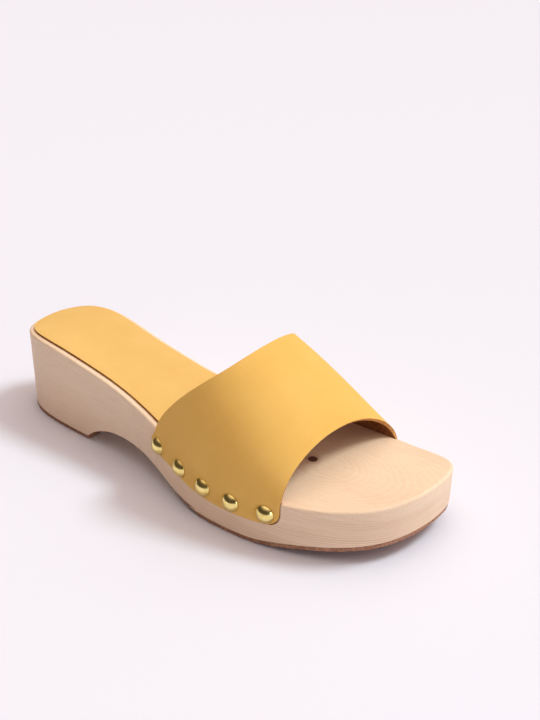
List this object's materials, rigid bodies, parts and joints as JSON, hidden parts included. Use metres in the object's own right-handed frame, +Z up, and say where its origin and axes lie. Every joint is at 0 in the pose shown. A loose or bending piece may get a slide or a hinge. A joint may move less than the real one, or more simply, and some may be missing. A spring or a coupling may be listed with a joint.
{
  "type": "wooden clog",
  "caption": "Open-toed, open-backed wooden clog for the right foot: leather band nailed over a low-heeled wooden sole, with leather insole and rubber tread.",
  "frame": {"origin": "middle of the bottom of the clog's bounding box, on the ground", "axes": "+X from the heel to the toe, +Y to the inner side of the right foot, +Z up"},
  "size_m": [0.2546, 0.0928, 0.079],
  "materials": {
    "sole_wood": "sanded pale wood, thin clear coat",
    "insole_leather": "matt yellow nubuck",
    "band_leather": "matt yellow nubuck",
    "sole_rubber": "brown crepe rubber",
    "nail_brass": "polished"
  },
  "bodies": {
    "root": {"wooden_sole": "sole_wood", "leather_insole": "insole_leather", "leather_band": "band_leather", "rubber_tread": "sole_rubber", "rubber_heel_lift": "sole_rubber", "dome_nail_outer_1": "nail_brass", "dome_nail_outer_2": "nail_brass", "dome_nail_outer_3": "nail_brass", "dome_nail_outer_4": "nail_brass", "dome_nail_outer_5": "nail_brass", "dome_nail_inner_1": "nail_brass", "dome_nail_inner_2": "nail_brass", "dome_nail_inner_3": "nail_brass", "dome_nail_inner_4": "nail_brass", "dome_nail_inner_5": "nail_brass"}
  },
  "joints": []
}
